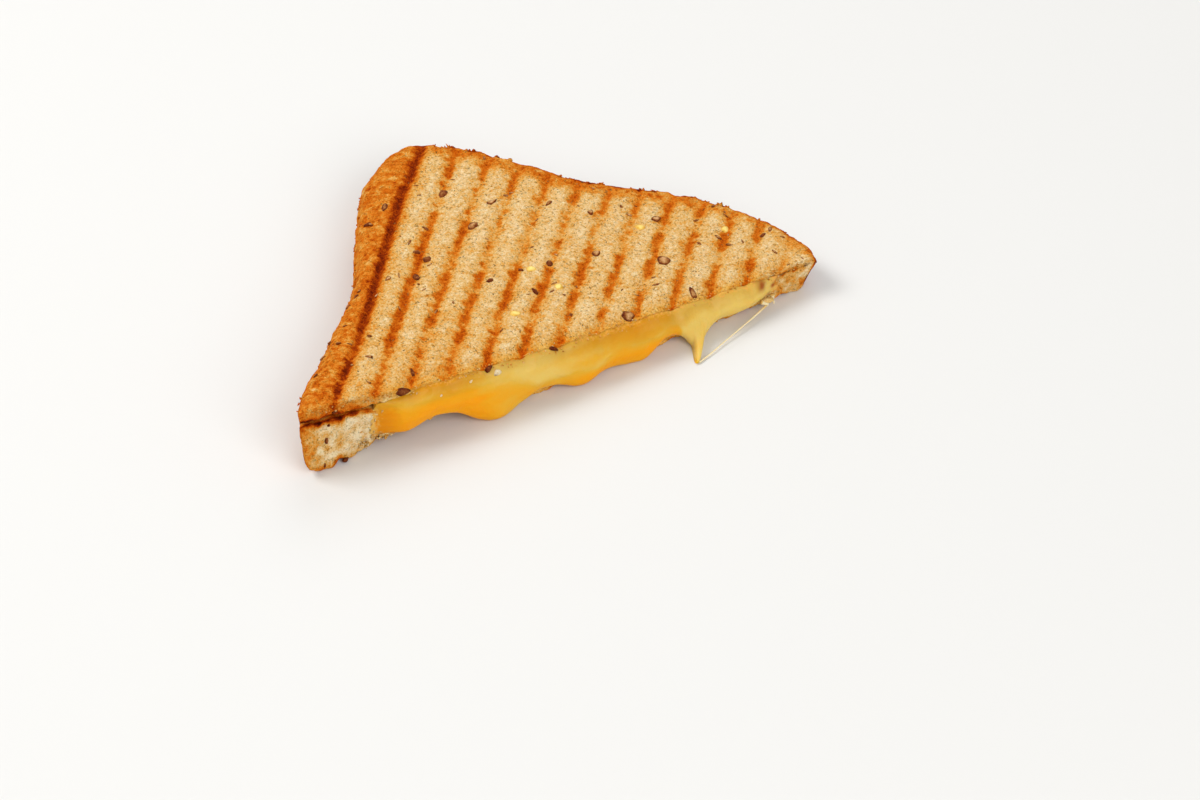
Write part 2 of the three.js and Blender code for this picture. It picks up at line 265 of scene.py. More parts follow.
# %% The surfaces of the sandwich as heights, mm
CORNER_HEIGHT = 21.2
TIP_HEIGHT = 10.6
BACK_RISE = 0.0148
MIDDLE_HEIGHT = 16
GAP = 0.3
CHEESE_LEFT = 16.9  # s where the cheese starts, and where it ends
CHEESE_RIGHT = 109.8
CHEESE_BACK = 0.92  # share of the way to the back crust


def round_off(distance, width, depth):
    inward = np.clip(1 - distance / width, 0, 1)
    return depth * (1 - np.sqrt(1 - inward * inward))


def together(*depths):
    return np.sqrt(sum(depth * depth for depth in depths))


def plane_height(p):
    return mix(CORNER_HEIGHT, TIP_HEIGHT, p.x / CUT_LENGTH) + BACK_RISE * p.y


def top_height(p):
    shoulder = rise(p.t, 60, 100)
    depth = 4.3 * mix(0.35, 1, rise(p.to_cut, 0, 14))
    side = round_off(p.to_side, mix(6.5, 12, shoulder), depth)
    back = round_off(p.to_back, 3.2, 2.6)
    tip = round_off(p.to_tip, 3, 0.8)
    pressed = 1.6 * fade(p.to_cut, 0, 5) * rise(p.to_tip, 0, 10)
    pressed = pressed * mix(0.2, 1, rise(p.x, 10, 36))
    uneven = 0.3 * lumps(at(p.x, p.y), 17, 1)
    return plane_height(p) - together(side, back, tip) - pressed - groove(p, 0) + uneven


def lid_under(p):
    crust = 0.8 * fade(np.minimum(p.to_side, p.to_back), 0, 10)
    thickness = mix(3.4, 6.2 + crust, rise(p.to_cut, 0, 9))
    return plane_height(p) * (1 - thickness / MIDDLE_HEIGHT)


def soft_min(first, second, blend):
    near = np.maximum(blend - np.abs(first - second), 0)
    return np.minimum(first, second) - near * near / (4 * blend)


def parting(p):
    """Space between the slices: the cheese, or only a slit at the crust."""
    start = cut_height(p.s)
    length = p.t + p.to_back - start
    share = (p.t - start) / np.maximum(length, 1)
    to_end = np.minimum(p.s - CHEESE_LEFT, CHEESE_RIGHT - p.s)
    inside = soft_min(to_end, (CHEESE_BACK - share) * length, 6)
    full = plane_height(p) / MIDDLE_HEIGHT * mix(6, 4.6, rise(p.to_cut, 0, 12))
    ragged = 1 + 0.9 * lumps(at(p.x), 3.4, 34)
    slit = 1.2 * ragged * fade(p.to_cut, 0, 10) * fade(p.x, 14, 24)
    return GAP + slit + (full - GAP) * rise(inside, -4, 8)


def bread_top(p):
    return lid_under(p) - parting(p)


def under_height(p):
    side = round_off(p.to_side, 6, 5)
    back = round_off(p.to_back, 4, 3)
    tip = round_off(p.to_tip, 3, 2)
    cut = round_off(p.to_cut, 1.5, 0.6)
    rising = stretch(p.x, 13, 34, 42, 54)
    arch = 4.2 * rising * fade(p.to_cut, 0, 22)
    return together(side, back, tip, cut) + arch + groove(p, 1)


middle = one_place(60.0, 30.0)
print("heights in the middle, mm:", [round(float(level(middle)[0]), 1)
                                     for level in (under_height, bread_top, lid_under, top_height)])

# %% [markdown]
# ## A slab over a triangle
#
# A half slice is a thin three-sided slab, and its crumb needs an even, fine
# mesh. A grid squeezed into a triangle would be crowded at the tip. So the
# slab starts as one triangle that is subdivided into even small ones, is
# extruded, and has its walls cut into levels. Its corners then say how far
# across, along and up each vertex is.

# %% Make a slab and read where its vertices are


def thicken(bm):
    """Extrudes the whole sheet upwards by one."""
    grown = bmesh.ops.extrude_face_region(bm, geom=bm.faces[:])["geom"]
    upper = [part for part in grown if isinstance(part, bmesh.types.BMVert)]
    bmesh.ops.translate(bm, verts=upper, vec=(0, 0, 1))


def triangle_slab(cuts, levels):
    bm = bmesh.new()
    bmesh.ops.create_circle(bm, cap_ends=True, segments=3, radius=1)
    corners = np.array([(*vert.co.xy, 1) for vert in bm.verts])
    bmesh.ops.subdivide_edges(bm, edges=bm.edges[:], cuts=cuts - 1, use_grid_fill=True)
    thicken(bm)
    upright = [edge for edge in bm.edges if abs(edge.verts[0].co.z - edge.verts[1].co.z) > 0.5]
    bmesh.ops.subdivide_edges(bm, edges=upright, cuts=levels - 1)
    bmesh.ops.recalc_face_normals(bm, faces=bm.faces[:])
    return bm, corners


def finish_mesh(bm, name):
    mesh = bpy.data.meshes.new(name)
    bm.to_mesh(mesh)
    bm.free()
    mesh.shade_smooth()
    return mesh


def read_points(mesh, what="co"):
    values = np.empty(len(mesh.vertices) * 3, np.float32)
    mesh.vertices.foreach_get(what, values)
    return values.reshape(-1, 3).astype(float)


def write_points(mesh, points):
    mesh.vertices.foreach_set("co", points.astype(np.float32).ravel())
    mesh.update()


def keep_values(mesh, **stored):
    """Stores numbers for each vertex, for the materials to read."""
    for name, values in stored.items():
        layer = mesh.attributes.new(name, "FLOAT", "POINT")
        layer.data.foreach_set("value", values.astype(np.float32))


def into_frame(points):
    """From the corner's own millimetres to the frame's metres."""
    return (points + np.array([*CORNER_FOOT, 0])) * MM


def put_in_scene(name, data):
    item = bpy.data.objects.new(name, data)
    bpy.context.scene.collection.objects.link(item)
    return item


def add_piece(mesh, *nodes, material_slot="toasted_bread"):
    piece = put_in_scene(mesh.name, mesh)
    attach(piece, "root")
    if nodes:
        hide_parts(*nodes)
    print(mesh.name, "has", len(mesh.polygons), "faces")
    return piece


# %% [markdown]
# ## How brown each spot is
#
# Bread browns from the outside in. One number per vertex, from 0 for raw
# crumb to 1 for nearly burnt, is enough to colour crumb, crust and marks
# alike, as they all went through the same browning. It falls off within a
# millimetre under the surface, so the cut shows pale crumb with a thin skin.

# %% Toasting as a number from 0 to 1
SKIN = 0.75  # mm, how deep the grilled skin goes
FACE = 0.2  # browning of a face between the marks
BROWN_SPOTS = [(138.3, 8.6, 1.4), (145.6, 9.4, 1.2), (142.6, 6.2, 0.8), (149.5, 8.4, 0.8)]


def grilled(p, side):
    """Browning of a pressed face."""
    number, away = nearest_mark(p)
    first = number == 0
    spots = at(p.x, p.y, side * 40.0)
    blots = lumps(spots, 2.1, 2)
    speckle = lumps(spots, 1.0, 3)
    away = np.where(first, away + 0.3, away) + 0.35 * blots
    wide = np.where(first, mix(1.5, 1.95, rise(p.t, 20, 55)), 1.45)
    faintest = 0.46 - 0.2 * rise(number, 4, 8)
    press = np.maximum(mark_strength(p, number, side), faintest) * hump(away, 0, wide)
    scorched = rise(press + np.where(first, 0.25, 0.4) * blots + 0.35 * speckle, 0.2, 0.9)
    right = rise(p.x, 45, 90)
    golden = hump(away, 0, np.where(first, 3.6, mix(3.1, 2.5, right)))
    line = np.where(first, 0.17 * golden + 0.2 * press + 0.28 * scorched,
                    mix(0.13, 0.11, right) * golden + 0.07 * press + 0.25 * scorched)
    line = line * (1 - 0.09 * rise(p.x, 50, 120))
    line = line + 0.015 * fade(p.x, 40, 85) * fade(p.to_cut, 8, 26)
    return FACE + 0.05 * lumps(spots, 6, 4) + 0.06 * blots + 0.07 * speckle + line


def crusted(p, points):
    """Browning of the crust, and its share of the surface from the outline inwards."""
    rough = lumps(points, 2.7, 5)
    fine = lumps(points, 1.1, 6)
    number, away = nearest_mark(p)
    side = fade(np.where(number == 0, away, 9), -1, 1.2)
    width = mix(9.4, 8.2, rise(p.s, 60, 100)) + 2.2 * lumps(at(p.s, p.s), 5, 7)
    rim = fade(p.to_back, 2.8, width + 2.5 * rough)
    edge = mix(0.2, 0.36, rise(p.x, 95, 120))
    edge = edge * fade(p.to_back, 0.9, 2.3 + 0.9 * rough)
    # Painted shade: the crust is browned more in the pores that are sunk into its surface.
    pore_shade = 0.16 * fade(pores(points, 2.1, 28), 0.1, 0.35)
    foot = fade(p.x, 3, 12) * fade(points[:, 2], 11, 14)
    level = 0.49 + 0.17 * rough + 0.17 * fine + pore_shade + edge
    level = level - 0.14 * rise(p.x, 138, 148) - 0.06 * foot
    return level, np.maximum(side, rim)


def brown_spots(x, z):
    return sum(hump(x, spot_x, size) * hump(z, spot_z, size)
               for spot_x, spot_z, size in BROWN_SPOTS)


def cut_browning(p, points, lid, height):
    """Browning of the cut: the height is the distance to the parting of the slices."""
    rough = lumps(points, 2.3, 9)
    if lid:
        level = mix(0.5, 0.14, rise(p.x, 12, 26)) + 0.2 * rough
        level = level + 0.14 * rise(p.x, 139, 147)
    else:
        slit = hump(height, 0, 1.3) * fade(p.x, 14, 23)
        base = 0.12 * rise(p.x, 112, 120) + 0.07 * rise(p.x, 138, 147)
        base = base + 0.05 * fade(p.x, 8, 16)
        level = 0.14 + base + 0.35 * slit + 0.3 * rough
    return level + 0.5 * brown_spots(p.x, points[:, 2])


def toasting(p, points, bottom, top, lid):
    """Browning anywhere in a slice, which is the lid or lies under it."""
    z = points[:, 2]
    depth = top - z if lid else z - bottom
    parting_height = z - bottom if lid else top - z
    skin = mix(1.5, SKIN, rise(p.x, 14, 30))
    pressed = np.exp(-(depth / skin) ** 2)
    at_cut = fade(p.to_cut, 0.2, 1.4)
    raw = mix(0.08, cut_browning(p, points, lid, parting_height), at_cut)
    at_tip = fade(p.to_tip, 0.3, 1.6)
    raw = mix(raw, 0.32 + 0.3 * lumps(points, 2.2, 36), at_tip)
    burnt = 0.3 + 0.35 * lumps(points, 2.6, 33)
    raw = raw + burnt * hump(parting_height, 0, 0.9) * fade(p.x, 16, 26)
    heat = mix(raw, grilled(p, 0 if lid else 1), pressed)
    browned, share = crusted(p, points)
    thick = (2.4 + 2.2 * fade(p.x, 8, 22)) * (1 + 0.5 * lumps(points, 3, 8))
    outside = fade(np.minimum(p.to_side, p.to_back), 0.5, thick)
    share = share * np.maximum(outside, np.exp(-(depth / 1.6) ** 2))
    return np.clip(mix(heat, np.maximum(heat, browned), share), 0, 1)


# %% [markdown]
# ## The upper slice
#
# The pressed face of the bread isn't smooth: it has fine grain, small open
# pores and softly sunken marks. Its crust is harder and wrinkled, and the
# crumb at the cut is torn. The slab takes the slice's form first, and then
# every vertex moves along its normal by a relief that depends on where it is.

# %% Relief of bread, mm
TOP_GRID = (282, 13)  # triangles along each side of the plan, levels of the wall
BOTTOM_GRID = (250, 30)

# the large seeds of the pressed face: x, y, turn in degrees, length, width, paleness of the top (a
# painted highlight)
TOP_SEEDS = [
    (58.5, 67.6, 14, 3.6, 1.5, 0.5), (51.5, 63.8, -78, 2.1, 1.3, 0.1),
    (75.6, 66.7, -58, 3.9, 2.6, 0.4), (86.2, 57.7, -42, 3.3, 1.5, 0.9),
    (76.6, 50.5, 9, 4.0, 2.5, 0.7), (58.9, 42.5, 0, 2.6, 2.2, 0.4),
    (53.1, 37.4, 35, 3.5, 1.9, 0.2), (100.3, 51.2, -20, 2.8, 1.1, 0.5),
    (108.9, 43.1, 20, 1.9, 1.6, 0.8), (88.4, 28.1, 30, 2.7, 2.0, 0.25),
    (102, 26.7, 28, 2.9, 2.3, 0.9), (70.2, 27.8, -73, 2.4, 1.4, 0.1),
    (124.1, 33.5, -45, 3.0, 2.1, 0.85), (79.2, 19.0, 43, 2.6, 1.4, 0.1),
    (117.2, 16.6, -70, 4.3, 3.4, 0.8), (34.6, 2.8, 56, 2.8, 0.9, 0.2),
    (98, 0.9, -28, 3.9, 3.0, 0.8), (118.3, 2.2, 76, 4.2, 1.7, 0.6),
]


def bread_relief(points, torn, crusty):
    """How far the surface stands proud of its form."""
    grain = 0.09 * lumps(points, 1.3, 10) + 0.05 * lumps(points, 0.8, 11)
    holes = -0.34 * fade(pores(points, 3.4, 12), 0.05, 0.32)
    small_holes = -0.16 * fade(pores(points, 1.7, 13), 0.05, 0.4)
    pressed = grain + holes + small_holes
    wrinkles = 0.5 * lumps(points, 4.2, 14) + 0.3 * lumps(points, 1.6, 15)
    wrinkles = wrinkles - 0.3 * fade(pores(points, 2.1, 28), 0.05, 0.35)
    tear = 0.55 * lumps(points, 2.4, 16) + 0.35 * lumps(points, 1.1, 17)
    tear = tear - 0.6 * fade(pores(points, 2.6, 18), 0.1, 0.45)
    return mix(mix(pressed, wrinkles, crusty), tear, torn)


def seed_beds(x, y):
    """The bread gives way a little round each large seed."""
    sunk = np.zeros_like(x)
    for seed_x, seed_y, _, length, *_ in TOP_SEEDS:
        sunk += 0.25 * np.exp(-((x - seed_x) ** 2 + (y - seed_y) ** 2) / (0.7 * length) ** 2)
    return sunk


# %% Shape a slab into a slice
CRUST_SWELL_TOP = 0.7
CRUST_SWELL_BOTTOM = 0.9
CORNER_LEAN = 2.4  # the foot of the corner leans out of the cut


def make_slice(name, grid, lower, upper, swell, lean, lid):
    bm, corners = triangle_slab(*grid)
    mesh = finish_mesh(bm, name)
    slab = read_points(mesh)
    level = slab[:, 2]
    flat = np.column_stack([slab[:, :2], np.ones(len(slab))])
    _, to_tip, to_shoulder = (flat @ np.linalg.inv(corners)).T
    across = np.clip(to_tip, 0, 1)
    along = np.clip(to_shoulder / np.maximum(1 - to_tip, 1e-6), 0, 1)
    p = lay_out(across, along)
    bottom, top = lower(p), upper(p)
    out = swell * (1 - (2 * level - 1) ** 2) * rise(p.to_cut, -2, 12)
    at_side = out * (across < 1e-4)
    at_back = out * (along > 1 - 1e-4)
    foot = lean * (1 - level)
    corner = foot * fade(p.x, 6, 19) * fade(p.to_cut, 0, 12)
    tip = 1.4 * foot * fade(p.to_tip, 0, 6)
    x = p.x - at_side * SIN + at_back * COS - tip
    y = p.y + at_side * COS + at_back * SIN - corner
    points = np.column_stack([x, y, mix(bottom, top, level)])
    write_points(mesh, points)
    normals = read_points(mesh, "normal")
    at_cut = fade(p.to_cut, 0, 1.3)
    torn = at_cut * rise(np.minimum(p.to_side, p.to_tip), 0.5, 2.5)
    if lid:
        torn = torn * (1 - 0.75 * stretch(p.x, 26, 34, 134, 142))
    crusty = np.maximum(fade(p.to_side, 3.5, 6.5), fade(p.to_back, 1.5, 3.5))
    relief = bread_relief(points, torn, crusty)
    if lid:
        relief = relief - seed_beds(points[:, 0], points[:, 1]) * (level > 0.99)
    moved = points + normals * relief[:, None]
    moved[:, 2] = np.maximum(moved[:, 2], 0.0)
    write_points(mesh, into_frame(moved))
    soaked = fade(p.to_cut, 0.3, 3.6 + 1.5 * lumps(points, 5, 20))
    keep_values(mesh, toast=toasting(p, points, bottom, top, lid),
                soaked=soaked * stretch(p.x, 18, 30, 136, 144))
    return mesh


# %% Upper slice
top_slice = add_piece(
    make_slice("toasted_top_slice", TOP_GRID, lid_under, top_height, CRUST_SWELL_TOP, 0, True),
    "top_bread")

# %% [markdown]
# ## The lower slice
#
# The lower slice is the same bread, grilled on its underside. At the thick
# corner it opens a little and curls down, so its pale crumb shows there, and
# under the middle of the cut it arches up.

# %% Lower slice
bottom_slice = add_piece(
    make_slice("toasted_bottom_slice", BOTTOM_GRID, under_height, bread_top,
               CRUST_SWELL_BOTTOM, CORNER_LEAN, False), "bottom_bread")

# %% [markdown]
# ## The melted cheese
#
# Both cheeses melted into one sheet that bulges out of the cut and hangs down
# over the lower slice, with one long drip. It is modelled as one bent sheet:
# a grid that runs from the lip's foot up over its bulge and then back between
# the slices, extruded to a thickness. A second block, filling the space under
# the line where the cheeses meet, then splits it in two, so that both parts
# keep one common skin.

# %% Measures of the cheese, mm
CHEESE_GAP = 0.25
TONGUE = 117.4  # x of the one long drip
TONGUE_REACH = 10.1
TONGUE_HALF_WIDTH = 1.15
LIP_BULGE = 3.2
LIP_ROWS = 30
INNER_ROWS = 16
FRONT_ROWS = 3
CHEESE_COLUMNS = 330

cheese_edge = curve_through([
    (20, 6), (24, 4.6), (30, 4.4), (35, 6), (40, 6.2), (44, 5), (49.5, 1.2),
    (53, 0), (59, 0), (63, 1.2), (68, 3.4), (74, 2.2), (79, 0.4), (83, 0.6),
    (87, 1.4), (92, 0.8), (96, 0), (100, 0.2), (103, 1.6), (106.5, 3.8),
    (110, 4), (113, 2.4), (115, 0.5), (116.4, 0), (118.6, 0), (120.4, 1.4), (123, 2.6),
    (126, 3), (133, 3.2), (146, 4.2),
])
# how far the lip stands out, from its foot (0) to the upper slice (1)
lip_profile = curve_through([
    (0, 0.66), (0.15, 0.86), (0.42, 1), (0.66, 0.86), (0.82, 0.56), (0.93, 0.3), (1, 0.1),
])


def cheese_meeting(p, lid, bread):
    """Height where the pale cheese above meets the orange one below."""
    pale_depth = 1.7 + 5 * rise(p.x, 56, 68) - 2.6 * rise(p.x, 84, 96)
    front = lid - pale_depth - 14 * rise(p.x, 110.5, 114.5)
    return mix(front, (lid + bread) / 2, rise(p.to_cut, 0.4, 3.6))


# %% Shape of the cheese sheet


def inner_place(column, share):
    """Column from 0 to 1 along the cut, crowded at the drip, share from cut to back."""
    s = mix(CHEESE_LEFT, CHEESE_RIGHT, column)
    past = s - TONGUE * SIN
    s = s - 0.6 * past * hump(past, 0, 6)
    start = cut_height(s)
    return place(s, mix(start, back_crust(s), share * CHEESE_BACK))


def lip_place(column, share, outer):
    """A point of the lip: share 0 at its foot and 1 at the slices."""
    p = inner_place(column, 0 * share)
    lid, bread = lid_under(p) - CHEESE_GAP, bread_top(p) + CHEESE_GAP
    low = np.maximum(0.05, np.minimum(cheese_edge(p.x), bread - 1.2))
    between = stretch(p.x, 20, 32, 132, 146)
    bulge = mix(1, LIP_BULGE, between) + 0.5 * lumps(at(p.x), 9, 4)
    folds = 0.45 * lumps(at(p.x, share * 2.5), 4.5, 21) * between
    blisters = 0.3 * fade(pores(at(p.x, share * 9), 5, 32), 0.05, 0.34)
    blisters = blisters * between * stretch(share, 0.2, 0.4, 0.8, 0.95)
    ragged = 1.02 + 0.13 * lumps(at(p.x), 4, 26)
    climb = (top_height(p) - lid) * ragged * rise(p.x, 24, 38)
    climb = climb * fade(p.x, 132, 146)
    height = mix(low, mix(bread, lid + climb, outer), share)
    above = height - low
    lean = 0.52 * TONGUE_REACH * fade(above, 0.5, 8)
    aside = np.abs(p.x - TONGUE)
    strand = np.exp(-((aside / (TONGUE_HALF_WIDTH + 1.5 * share)) ** 4))
    strand = 0.6 * strand * fade(share, 0, 0.42) ** 1.1
    flare = np.exp(-((aside / (2.9 + 5 * share)) ** 1.7))
    flare = 0.4 * flare * fade(share, 0, 0.8) ** 1.3
    tongue = TONGUE_REACH * (strand + flare)
    lobes = 2 * hump(p.x, 56, 5) + 1.2 * hump(p.x, 81, 5) + 0.6 * hump(p.x, 101, 4)
    lobes = lobes * fade(share, 0.1, 0.5)
    reach = bulge * lip_profile(share) + tongue + lobes + folds * (1 - share) + blisters
    rounding = 0.9 * (1 - np.sqrt(1 - np.clip(1 - above / 1.1, 0, 1) ** 2))
    ends = stretch(p.x, 20.5, 30, 137, 145)
    reach = np.maximum((reach - rounding) * mix(0.08, 1, ends), 0.1)
    reach = reach - 0.9 * rise(share, 0.925, 0.985) * ends
    frayed = 3.0 * lumps(at(height, outer), 3.2, 27)
    frayed = frayed + 0.9 * lumps(at(height, outer), 1.3, 29)
    frayed = frayed * (fade(p.x, 21.5, 30) + rise(p.x, 136.5, 144))
    x = p.x - lean * tongue / TONGUE_REACH * outer + frayed
    y = p.y + 0.4 * (1 - outer) - reach * outer
    return x, y, height


def in_cheese(across, row, outer):
    """Where a vertex of the sheet goes: first up the lip, then back between the slices."""
    share = np.clip(row / (LIP_ROWS - 1), 0, 1)
    depth = np.clip((row - LIP_ROWS + 1) / INNER_ROWS, 0, 1) ** 1.7
    p = inner_place(across + 0.5, depth)
    flat = mix(bread_top(p) + CHEESE_GAP, lid_under(p) - CHEESE_GAP, outer)
    lip = lip_place(across + 0.5, share * 0.985, outer)
    return np.where(row < LIP_ROWS, lip, (p.x, p.y, flat))


def under_meeting(across, row, upper):
    """All the space under the meeting line, wider than the cheese on all sides."""
    depth = np.clip((row - FRONT_ROWS) / (INNER_ROWS - 1), 0, 1)
    p = inner_place(across * 1.02 + 0.5, depth * 1.04)
    in_front = np.interp(row, range(FRONT_ROWS + 1), [18, 6, 1, 0])
    meeting = cheese_meeting(p, lid_under(p), bread_top(p))
    return p.x, p.y - in_front, mix(-40, meeting, upper)


def bent_sheet(name, rows, bend):
    """A grid with two sides, whose every vertex is then put in its place."""
    bm = bmesh.new()
    bmesh.ops.create_grid(bm, x_segments=CHEESE_COLUMNS - 1, y_segments=rows - 1, size=0.5)
    thicken(bm)
    bmesh.ops.recalc_face_normals(bm, faces=bm.faces[:])
    mesh = finish_mesh(bm, name)
    across, along, upper = read_points(mesh).T
    row = np.round((along + 0.5) * (rows - 1))
    write_points(mesh, np.column_stack(bend(across, row, upper)) * MM)
    return put_in_scene(name, mesh)


# %% Split the sheet and store which cheese shows where
ORANGE_RUN = curve_through([
    (18, 0.7), (22, 0.85), (27, 1), (46, 1), (52, 0.75), (58, 0.5), (64, 0.45),
    (72, 0.65), (82, 0.85), (92, 0.8), (98, 0.75), (103, 1), (109, 1), (114, 0.5),
    (119, 0.15), (126, 0.05), (150, 0.05),
])


def split_sheet(name, operation):
    piece = bent_sheet(name, LIP_ROWS + INNER_ROWS, in_cheese)
    block = bent_sheet(name + "_space", FRONT_ROWS + INNER_ROWS, under_meeting)
    cutter = piece.modifiers.new("split", "BOOLEAN")
    cutter.object = block
    cutter.operation = operation
    cutter.solver = "MANIFOLD"
    graph = bpy.context.evaluated_depsgraph_get()
    mesh = bpy.data.meshes.new_from_object(piece.evaluated_get(graph))
    for item in (piece, block):
        bpy.data.meshes.remove(item.data)
    mesh.name = name
    mesh.materials.clear()
    return mesh


def dress_cheese(mesh):
    mesh.shade_smooth()
    mesh.set_sharp_from_angle(angle=math.radians(55))
    points = read_points(mesh) / MM
    x, y, z = points.T
    p = place_at(x, np.maximum(y, cut_line(x)))
    p.to_cut = np.zeros_like(x)
    blur = 3.2 + 1.2 * lumps(points, 6, 22)
    wander = 1.8 * lumps(points * np.array([1, 1, 2.2]), 7, 23)
    under = rise(cheese_meeting(p, lid_under(p), bread_top(p)) - z + wander, -blur, blur)
    streaks = 0.35 * lumps(points * np.array([0.25, 1, 1.2]), 2.6, 24)
    orange = under * ORANGE_RUN(x) + streaks * under
    left_top = fade(x, 44, 58) * (1 - under)
    apricot = stretch(x, 66, 86, 106, 113) * (1 - under)
    upper = 0.5 * left_top + (0.3 + 0.2 * hump(x, 99, 9)) * apricot + 0.5 * streaks * (1 - under)
    spots = brown_spots(x, z)
    # Painted shade: a share that darkens the cheese in a band under the edge of the upper slice,
    # deeper in some places, and strongly at its left end.
    under_crust = top_height(p) - z + lumps(points * np.array([0.5, 1, 1]), 4, 35)
    deep = 5.4 + 3.6 * hump(x, 99, 11) - 2.2 * hump(x, 60, 10) - 1.6 * rise(x, 110, 120)
    steeped = fade(under_crust, -1, deep)
    fringe = fade(top_height(p) - z, 0, 1.5 + 1.4 * lumps(points, 2, 30))
    left_end = fade(x, 19.3, 24 + 1.2 * lumps(points, 1.6, 31))
    right_end = rise(x, 139.5, 145 + 1.5 * lumps(points, 1.6, 31))
    keep_values(
        mesh, orange=np.clip(np.maximum(orange, upper), 0, 1),
        scorched=np.clip(spots + 0.5 * spots * lumps(points, 1.4, 25), 0, 1),
        steeped=np.maximum(steeped, 0.8 * fade(x, 22, 29)),
        crumb=np.clip(0.6 * fringe + left_end + right_end, 0, 1), crumb_tone=fade(x, 22, 40))
    write_points(mesh, into_frame(points))
    return mesh


pale_cheese = add_piece(dress_cheese(split_sheet("melted_pale_cheese", "DIFFERENCE")),
                        "pale_cheese", material_slot="pale_cheese")
orange_cheese = add_piece(dress_cheese(split_sheet("melted_orange_cheese", "INTERSECT")),
                          "orange_cheese", material_slot="orange_cheese")

# %% [markdown]
# ## Seeds, grains and bran
#
# The loaf is full of flax seeds, with a few grains of yellow millet and fine
# flakes of bran. Each kind is one joined mesh. A seed starts as a low ball
# and is drawn out to a flat drop; a few dozen faces are enough at its size.
# A number on each vertex gives its colour: the top of a seed or millet grain
# is lighter, a painted highlight, and its rim darker, partly the coat's own
# colour and partly painted shade where it sinks into the bread.

# %% Place small things on the bread
# seeds on the cut: x, y, height, turn in degrees, length, width, paleness of the top (a painted
# highlight)
CUT_SEEDS = [
    (29.6, -1.9, 17.05, -10, 4.2, 2.0, 0.2), (54.4, -2.4, 15.15, 25, 2.4, 1.4, 0.2),
    (73.7, -2.35, 14.1, -30, 2.6, 1.1, 0.1), (8.4, -0.5, 13.0, 60, 1.5, 1.1, 0.1),
    (7.4, -1.1, 8.9, 75, 2.2, 0.9, 0.3), (12.1, -2.3, 0.9, 20, 1.8, 1.2, 0.2),
    (5.9, -2.2, 1.6, 70, 1.5, 1.0, 0.2), (10.6, -0.2, 16.9, 15, 2.0, 0.9, 0.0),
]
MILLET = [(82.5, 27.2), (85.7, 17.7), (69.9, 12.3), (139.4, 22.2), (118.3, 31.8)]
MILLET_SIZE = (2.9, 2.3, 0.9)
SEED_THICKNESS = 1.2
FLAX_SCRAPS = 60
CRUST_SCRAPS = 9
BRAN_FLAKES = 1500


def surface_at(x, y):
    """Height and tilt of the pressed face at a place."""
    xs = np.array([x, x + 0.6, x])
    ys = np.array([y, y, y + 0.6])
    here, east, north = top_height(place_at(xs, ys)) - seed_beds(xs, ys)
    normal = Vector((here - east, here - north, 0.6)).normalized()
    return here, normal


def put(bm, where, normal, turn, size, shades, detail=1, drop=0.0, rough=0.0):
    """Adds a flattened ball. Size and turn as seen from above it, shades of rim and top."""
    shade = bm.verts.layers.float.values()[0]
    made = bmesh.ops.create_icosphere(bm, subdivisions=detail, radius=0.5)["verts"]
    for vert in made:
        # A lighter top and darker rim: on seeds and millet a painted highlight and painted shade;
        # crumbs, bran and webs get one tone all over.
        vert[shade] = mix(*shades, min(max(5.5 * vert.co.z - 1.6, 0), 1))
        vert.co.y *= 1 - 2 * drop * vert.co.x
        vert.co += rough * noise.noise_vector(vert.co * 2.5 + Vector(where))
    bmesh.ops.scale(bm, verts=made, vec=size)
    tilt = normal.to_track_quat("Z", "Y").to_matrix().to_4x4()
    spin = Matrix.Rotation(turn, 4, "Z")
    bmesh.ops.transform(bm, verts=made, matrix=Matrix.Translation(where) @ tilt @ spin)


def put_on_face(bm, x, y, sunk, *form):
    """Puts a ball on the pressed face, sunk into it by some way."""
    height, normal = surface_at(x, y)
    put(bm, (x, y, height - sunk), normal, *form)


def new_scatter(shade="tone"):
    bm = bmesh.new()
    bm.verts.layers.float.new(shade)
    return bm


def close_scatter(bm, name):
    mesh = finish_mesh(bm, name)
    write_points(mesh, into_frame(read_points(mesh)))
    return mesh


# %% Flax seeds
draw = np.random.default_rng(11).uniform  # a random number between two limits
noise.seed_set(11)  # vector noise is the same in every run


def flax_seeds():
    bm = new_scatter()
    for x, y, turn, length, width, pale in TOP_SEEDS:
        put_on_face(bm, x, y, 0.1, math.radians(turn),
                    (length, width, SEED_THICKNESS), (0.1, pale), 3, 0.3, 0.12)
    for x, y, height, turn, length, width, pale in CUT_SEEDS:
        facing = Vector((0, -1, 0.5)).normalized()
        put(bm, (x, y, height), facing, math.radians(turn),
            (length, width, SEED_THICKNESS), (0.05, pale), 3, 0.3, 0.12)
    for _ in range(FLAX_SCRAPS):
        p = lay_out(draw(0.04, 0.97), draw(0.03, 0.97))
        length = draw(0.9, 2.3)
        size = (length, length * draw(0.25, 0.6), 0.6)
        put_on_face(bm, p.x, p.y, 0.06, draw(0, 3.1), size, (0.25, draw(0.3, 1)), 2, 0.3, 0.25)
    for _ in range(CRUST_SCRAPS):
        p = lay_out(draw(0.003, 0.03), draw(0.03, 0.97))
        length = draw(1.1, 2.4)
        size = (length, length * 0.4, 0.9)
        put_on_face(bm, p.x, p.y, 0, draw(0, 3.1), size, (0.2, draw(0.3, 0.9)), 2, 0.3, 0.3)
    return close_scatter(bm, "flax_seeds")


seeds = add_piece(flax_seeds())

# %% Millet grains


def millet_grains():
    bm = new_scatter()
    for x, y in MILLET:
        put_on_face(bm, x, y, 0.1, draw(0, 3), MILLET_SIZE, (0.2, draw(0.7, 1)), 3, 0, 0.16)
    return close_scatter(bm, "millet_grains")


millet = add_piece(millet_grains())

# %% Bran flakes


